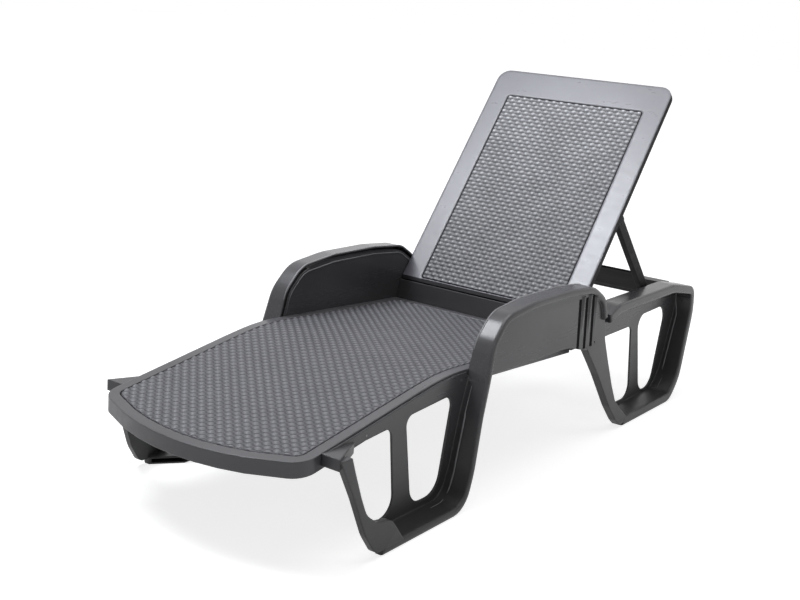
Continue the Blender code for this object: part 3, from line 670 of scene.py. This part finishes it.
weaveValues = {
    "seat_weave": {
        "pitch": 0.0128,           # from one strand to the next
        "steps": 5,                # mesh steps across one strand
        "acrossShare": 0.86,       # how much of the pitch a strand across the sheet fills
        "alongShare": 0.66,        # the same for a strand along it
        "acrossRise": 0.0016,      # how far a strand across the sheet rises and dips
        "alongRise": 0.0008,       # the same for a strand along it
        "alongDrop": 0.0013,       # how much lower a strand along it lies
        "crown": 0.0020,           # how round a strand is
        "base": 0.0002,            # the lowest point of the skin above the sheet
        "edgeGap": 0.0035,         # dark gap between the skin and the rim
        "skirt": 0.0015,           # how far the skin's edge reaches down into the sheet
    },
    "backrest_weave": {
        "pitch": 0.0124,
        "steps": 6,
        "acrossShare": 0.88,
        "alongShare": 0.60,
        "acrossRise": 0.0018,
        "alongRise": 0.0008,
        "alongDrop": 0.0016,
        "crown": 0.0022,
        "base": 0.0002,
        "edgeGap": 0.0035,
        "skirt": 0.0015,
    },
}


# The same for both sheets
sheetValues = {
    "weldDistance": 0.00002,
    "rimSteepness": 0.2,       # a face whose normal rises less than this belongs to the rim
    "smoothAngle": 60,
}

solidWeldDistance = 0.00001    # joins the loose triangles of a solid's copy


def strandHeight(x, y, values):
    u = x / values["pitch"]
    v = y / values["pitch"]
    column = np.round(u)
    row = np.round(v)
    acrossEdge = 1 - (2 * (v - row) / values["acrossShare"]) ** 2
    alongEdge = 1 - (2 * (u - column) / values["alongShare"]) ** 2
    acrossCrown = values["crown"] * np.sqrt(np.clip(acrossEdge, 0, 1))
    alongCrown = values["crown"] * np.sqrt(np.clip(alongEdge, 0, 1))
    across = values["acrossRise"] * np.cos(np.pi * (u + row)) + acrossCrown
    along = values["alongRise"] * np.cos(np.pi * (v + column + 1)) + alongCrown - values["alongDrop"]
    across = np.where(acrossEdge > 0, across, -1)
    along = np.where(alongEdge > 0, along, -1)
    return values["base"] + np.clip(np.maximum(across, along), 0, None)


def selectOnly(piece):
    bpy.ops.object.select_all(action="DESELECT")
    piece.select_set(True)
    bpy.context.view_layer.objects.active = piece


def mergedCopy(nodeName, name):
    # The solid's triangles come loose, so the copy is welded before it is worked on.
    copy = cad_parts[nodeName].copy()
    copy.data = copy.data.copy()
    copy.name = name
    copy.parent = None
    for key in list(copy.keys()):
        del copy[key]
    bpy.context.scene.collection.objects.link(copy)
    selectOnly(copy)
    bpy.ops.object.mode_set(mode="EDIT")
    bpy.ops.mesh.select_all(action="SELECT")
    bpy.ops.mesh.remove_doubles(threshold=solidWeldDistance)
    bpy.ops.object.mode_set(mode="OBJECT")
    return copy


def rimPlanes(mesh):
    # One plane for each straight run of the sheet's edge: (normal, distance along it).
    planes = {}
    for polygon in mesh.polygons:
        normal = polygon.normal
        if abs(normal.z) < sheetValues["rimSteepness"]:
            flat = Vector((normal.x, normal.y, 0)).normalized()
            corner = mesh.vertices[polygon.vertices[0]].co
            planes[(round(flat.x, 3), round(flat.y, 3))] = (flat, flat.dot(corner))
    return list(planes.values())


def topLine(mesh):
    # Heights of the sheet's top along its length.
    highest = {}
    for vertex in mesh.vertices:
        y = round(vertex.co.y, 4)
        highest[y] = max(highest.get(y, vertex.co.z), vertex.co.z)
    places = sorted(highest)
    return np.array(places), np.array([highest[y] for y in places])


def readPoints(mesh):
    points = np.empty(len(mesh.vertices) * 3, np.float32)
    mesh.vertices.foreach_get("co", points)
    return points.reshape(-1, 3)


def makeWovenSheet(name, nodeName, place, finishName):
    values = weaveValues[name]
    under = mergedCopy(nodeName, name)
    under.data.transform(place.inverted())
    corners = np.array([vertex.co for vertex in under.data.vertices])
    low, high = corners.min(0), corners.max(0)
    planes = rimPlanes(under.data)
    lineY, lineZ = topLine(under.data)
    step = values["pitch"] / values["steps"]
    columns = math.ceil((high[0] - low[0]) / step / 2) + 1
    firstRow = math.floor(low[1] / step) - 1
    rows = math.ceil(high[1] / step) + 1 - firstRow

    # A grid whose lines fall on the strands is trimmed to the sheet, inside its rim.
    bpy.ops.object.select_all(action="DESELECT")
    bpy.ops.mesh.primitive_grid_add(x_subdivisions=2 * columns, y_subdivisions=rows, size=1)
    skin = bpy.context.active_object
    points = readPoints(skin.data)
    points[:, 0] *= 2 * columns * step
    points[:, 1] = (points[:, 1] + 0.5) * rows * step + firstRow * step
    skin.data.vertices.foreach_set("co", points.reshape(-1))
    bpy.ops.object.mode_set(mode="EDIT")
    for normal, distance in planes:
        edge = normal * (distance - values["edgeGap"])
        bpy.ops.mesh.select_all(action="SELECT")
        bpy.ops.mesh.bisect(plane_co=edge, plane_no=normal, clear_outer=True)
    bpy.ops.mesh.select_all(action="SELECT")
    bpy.ops.mesh.remove_doubles(threshold=sheetValues["weldDistance"])
    bpy.ops.object.mode_set(mode="OBJECT")
    points = readPoints(skin.data).astype(float)
    rise = strandHeight(points[:, 0], points[:, 1], values)
    points[:, 2] = np.interp(points[:, 1], lineY, lineZ) + rise
    skin.data.vertices.foreach_set("co", points.reshape(-1).astype(np.float32))
    height = skin.data.attributes.new("weaveHeight", "FLOAT", "POINT")
    most = values["base"] + values["acrossRise"] + values["crown"]
    height.data.foreach_set("value", (rise / most).astype(np.float32))
    skin.data.update()

    # The skin's edge turns down into the sheet, whose own top is the dark groove round it.
    bpy.ops.object.mode_set(mode="EDIT")
    bpy.ops.mesh.select_mode(type="EDGE")
    bpy.ops.mesh.select_all(action="DESELECT")
    bpy.ops.mesh.select_non_manifold(
        extend=False, use_wire=False, use_multi_face=False, use_non_contiguous=False, use_verts=False,
    )
    drop = -values["skirt"] - most
    bpy.ops.mesh.extrude_region_move(TRANSFORM_OT_translate={"value": (0, 0, drop)})
    bpy.ops.object.mode_set(mode="OBJECT")
    under.data.materials.clear()
    under.select_set(True)
    bpy.context.view_layer.objects.active = under
    bpy.ops.object.join()
    sheet = bpy.context.active_object
    sheet.name = name
    sheet.data.transform(place)
    bpy.ops.object.shade_smooth_by_angle(angle=math.radians(sheetValues["smoothAngle"]))
    sheet.data.materials.append(finishes[finishName])
    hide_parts(nodeName)
    print("lounger:", name, len(sheet.data.polygons), "faces")
    return sheet


# Upright grooves between the columns at the rear of each arm

grooveValues = {
    "places": (0.1690, 0.2055, 0.2425),
    "radius": 0.0092,
    "facets": 24,
    "middle": (0.3355, 0.340),  # out from the centre, and up
    "tall": 0.136,
    "lean": 2.7,                # follows the outer face, which leans in
    "dirtWidth": 0.8,           # share of the radius that takes the painted shade
    "shadeDepth": 0.012,
    "shadePast": 0.002,          # how far the painted shade goes past the ends
    "shadeSteepness": 0.5,       # painted shade stays on faces whose normal rises less than this
}


def cutArmGrooves(shell, side):
    values = grooveValues
    out, up = values["middle"]
    for place in values["places"]:
        bpy.ops.mesh.primitive_cylinder_add(
            vertices=values["facets"],
            radius=values["radius"],
            depth=values["tall"],
            location=(side * out, place, up),
            rotation=(0, -side * math.radians(values["lean"]), 0),
        )
        cutter = bpy.context.active_object
        cut = shell.modifiers.new("armGroove", "BOOLEAN")
        cut.operation = "DIFFERENCE"
        cut.solver = "MANIFOLD"
        cut.object = cutter
        selectOnly(shell)
        bpy.ops.object.modifier_apply(modifier=cut.name)
        bpy.data.objects.remove(cutter)


def darkenGrooves(shell):
    # Painted shade: the faces deep in the grooves take the near-black charcoal resin, for the shade
    # that falls there.
    values = grooveValues
    out, up = values["middle"]
    halfWidth = values["radius"] * values["dirtWidth"]
    halfHeight = values["tall"] / 2 + values["shadePast"]
    shell.data.materials.append(finishes["charcoalResin"])
    for polygon in shell.data.polygons:
        center = polygon.center
        inGroove = min(abs(center.y - place) for place in values["places"]) < halfWidth
        inside = out - values["shadeDepth"] < abs(center.x) < out
        upright = abs(polygon.normal.z) < values["shadeSteepness"]
        if inGroove and inside and upright and abs(center.z - up) < halfHeight:
            polygon.material_index = 1


# The moulded frames, welded so that their round parts shade smoothly

# Each shell: the solid it stands for, its finish, its slot and its body
smoothFrames = {
    "side_shell_right": ("side_frame_right", "sideResin", "anthracite_resin", "base"),
    "side_shell_left": ("side_frame_left", "sideResin", "anthracite_resin", "base"),
    "seat_shell": ("seat_frame", "anthraciteResin", "anthracite_resin", "base"),
    "backrest_shell": ("backrest_frame", "backrestResin", "anthracite_resin", "backrest"),
    "prop_shell": ("prop_frame", "charcoalResin", "charcoal_resin", "prop"),
}

shellValues = {
    "flatAngle": 0.2,          # faces that turn less than this are made one
    "smoothAngle": 28,
    "flatWeight": 100,         # how much large faces decide the shading of the edges beside them
}


def makeSmoothFrame(name):
    values = shellValues
    nodeName, finishName, slot, body = smoothFrames[name]
    shell = mergedCopy(nodeName, name)
    if finishName == "sideResin":
        cutArmGrooves(shell, 1 if "right" in name else -1)
    bpy.ops.object.mode_set(mode="EDIT")
    bpy.ops.mesh.select_all(action="SELECT")
    bpy.ops.mesh.dissolve_limited(angle_limit=math.radians(values["flatAngle"]))
    bpy.ops.object.mode_set(mode="OBJECT")
    bpy.ops.object.shade_smooth_by_angle(angle=math.radians(values["smoothAngle"]))
    steady = shell.modifiers.new("flatFacesStayFlat", "WEIGHTED_NORMAL")
    steady.weight = values["flatWeight"]
    steady.keep_sharp = True
    bpy.ops.object.modifier_apply(modifier=steady.name)
    shell.data.materials.clear()
    shell.data.materials.append(finishes[finishName])
    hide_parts(nodeName)
    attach(shell, body)
    if finishName == "sideResin":
        darkenGrooves(shell)
    return shell


flangeValues = {
    "footLength": -0.0085,     # along the backrest from its hinge: below this it takes painted shade
    "sidewards": 0.6,          # a face that looks sidewards more than this is the flange
    "width": 0.012,
}


def darkenFlanges(shell):
    # Painted shade: the turned-down sides and the foot of the backrest take the rougher, near-black
    # charcoal resin, for the shade that falls on them.
    values = flangeValues
    tilt = math.radians(backrestPlace["tilt"])
    up = Vector((0, math.cos(tilt), math.sin(tilt)))
    hinge = Vector((0, backrestPlace["hingeY"], backrestPlace["hingeZ"]))
    cutPlace = hinge + up * values["footLength"]
    selectOnly(shell)
    bpy.ops.object.mode_set(mode="EDIT")
    bpy.ops.mesh.select_all(action="SELECT")
    bpy.ops.mesh.bisect(plane_co=cutPlace, plane_no=up)
    bpy.ops.object.mode_set(mode="OBJECT")
    shell.data.materials.append(finishes["charcoalResin"])
    flangeStart = max(vertex.co.x for vertex in shell.data.vertices) - values["width"]
    for polygon in shell.data.polygons:
        atSide = abs(polygon.normal.x) > values["sidewards"] and abs(polygon.center.x) > flangeStart
        atFoot = (polygon.center - cutPlace).dot(up) < 0
        if atSide or atFoot:
            polygon.material_index = 1


# Thin moulded beads: corners are (y, z, rounding), seen from the side

armLine = (
    (0.3216, 0.3374, 0), (0.3068, 0.3920, 0.089), (0.2365, 0.4320, 0.089), (0.1053, 0.4431, 0.178),
    (-0.0739, 0.4440, 0.178), (-0.2033, 0.4298, 0.089), (-0.2624, 0.3721, 0.089), (-0.2780, 0.3150, 0),
)

beadValues = {
    "arm_edge_bead": {
        "corners": armLine,
        "inset": 0.0012,
        "startX": 0.2866,
        "endX": 0.2866,
        "radius": 0.0026,
    },
    "arm_inner_bead": {
        "corners": armLine,
        "inset": 0.0205,
        "startX": 0.2850,
        "endX": 0.2850,
        "radius": 0.0019,
    },
    "front_leg_bead": {
        "corners": (
            (-0.2905, 0.2720, 0), (-0.3105, 0.2069, 0.17), (-0.3363, 0.0888, 0.13),
            (-0.3641, 0.0180, 0.05), (-0.4300, 0.0180, 0),
        ),
        "inset": 0.0,
        "startX": 0.303,
        "endX": 0.309,
        "radius": 0.0022,
    },
    "rear_leg_bead": {
        "corners": (
            (0.8915, 0.3350, 0), (0.8980, 0.2620, 0.10), (0.8317, 0.0674, 0.05), (0.7900, 0.0330, 0),
        ),
        "inset": 0.0,
        "startX": 0.2905,
        "endX": 0.3120,
        "radius": 0.0022,
    },
}

# The same for every bead
beadShape = {
    "arcSteps": 8,
    "arcShare": 0.48,          # how much of a straight run one rounding may take up
    "profileSteps": 3,
    "endRadius": 0.35,         # share of the radius that the tapered ends keep
    "taper": 6,
    "smoothAngle": 40,
}


def roundedLine(corners):
    arcSteps = beadShape["arcSteps"]
    most = beadShape["arcShare"]
    points = [Vector(corners[0][:2])]
    for before, corner, after in zip(corners, corners[1:], corners[2:]):
        tip = Vector(corner[:2])
        into = Vector(before[:2]) - tip
        out = Vector(after[:2]) - tip
        turn = math.pi - into.angle(out)
        reach = min(corner[2] * math.tan(turn / 2), into.length * most, out.length * most)
        start = tip + into.normalized() * reach
        end = tip + out.normalized() * reach
        for step in range(arcSteps + 1):
            share = step / arcSteps
            points.append(start.lerp(tip, share).lerp(tip.lerp(end, share), share))
    points.append(Vector(corners[-1][:2]))
    return points


def insetLine(points, inset):
    moved = []
    for index, point in enumerate(points):
        before = points[max(index - 1, 0)]
        after = points[min(index + 1, len(points) - 1)]
        along = (after - before).normalized()
        moved.append(point + Vector((-along.y, along.x)) * inset)
    return moved


def makeBead(name, side):
    values = beadValues[name]
    line = insetLine(roundedLine(values["corners"]), values["inset"])
    sideName = "right" if side > 0 else "left"
    curve = bpy.data.curves.new(name, "CURVE")
    curve.dimensions = "3D"
    curve.bevel_depth = values["radius"]
    curve.bevel_resolution = beadShape["profileSteps"]
    curve.use_fill_caps = True
    spline = curve.splines.new("POLY")
    spline.points.add(len(line) - 1)
    for index, (point, spot) in enumerate(zip(line, spline.points)):
        share = index / (len(line) - 1)
        x = values["startX"] * (1 - share) + values["endX"] * share
        spot.co = (side * x, point.x, point.y, 1)
        spot.radius = min(1.0, beadShape["endRadius"] + beadShape["taper"] * min(share, 1 - share))
    bead = bpy.data.objects.new(name + "_" + sideName, curve)
    bpy.context.scene.collection.objects.link(bead)
    selectOnly(bead)
    bpy.ops.object.convert(target="MESH")
    bpy.ops.object.shade_smooth_by_angle(angle=math.radians(beadShape["smoothAngle"]))
    bead = bpy.context.active_object
    bead.data.materials.clear()
    # Painted highlight: the beads take the light bead resin.
    bead.data.materials.append(finishes["beadHighlightResin"])
    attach(bead, "base")


makeCamera()
makeStudio()
print("lounger: studio ready")
finishSolids()
print("lounger: resin and steel finishes on the solids")
shells = {shellName: makeSmoothFrame(shellName) for shellName in smoothFrames}
darkenFlanges(shells["backrest_shell"])
print("lounger: moulded frames welded and smoothed")

seatWeave = makeWovenSheet("seat_weave", "seat_panel", Matrix.Identity(4), "seatWeaveResin")
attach(seatWeave, "base")
hingePlace = Matrix.Translation((0, backrestPlace["hingeY"], backrestPlace["hingeZ"]))
backrestMatrix = hingePlace @ Matrix.Rotation(math.radians(backrestPlace["tilt"]), 4, "X")
backrestWeave = makeWovenSheet("backrest_weave", "backrest_panel", backrestMatrix, "backrestWeaveResin")
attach(backrestWeave, "backrest")
print("lounger: woven sheets made")
for beadName in beadValues:
    makeBead(beadName, 1)
    makeBead(beadName, -1)
print("lounger: moulded beads made")
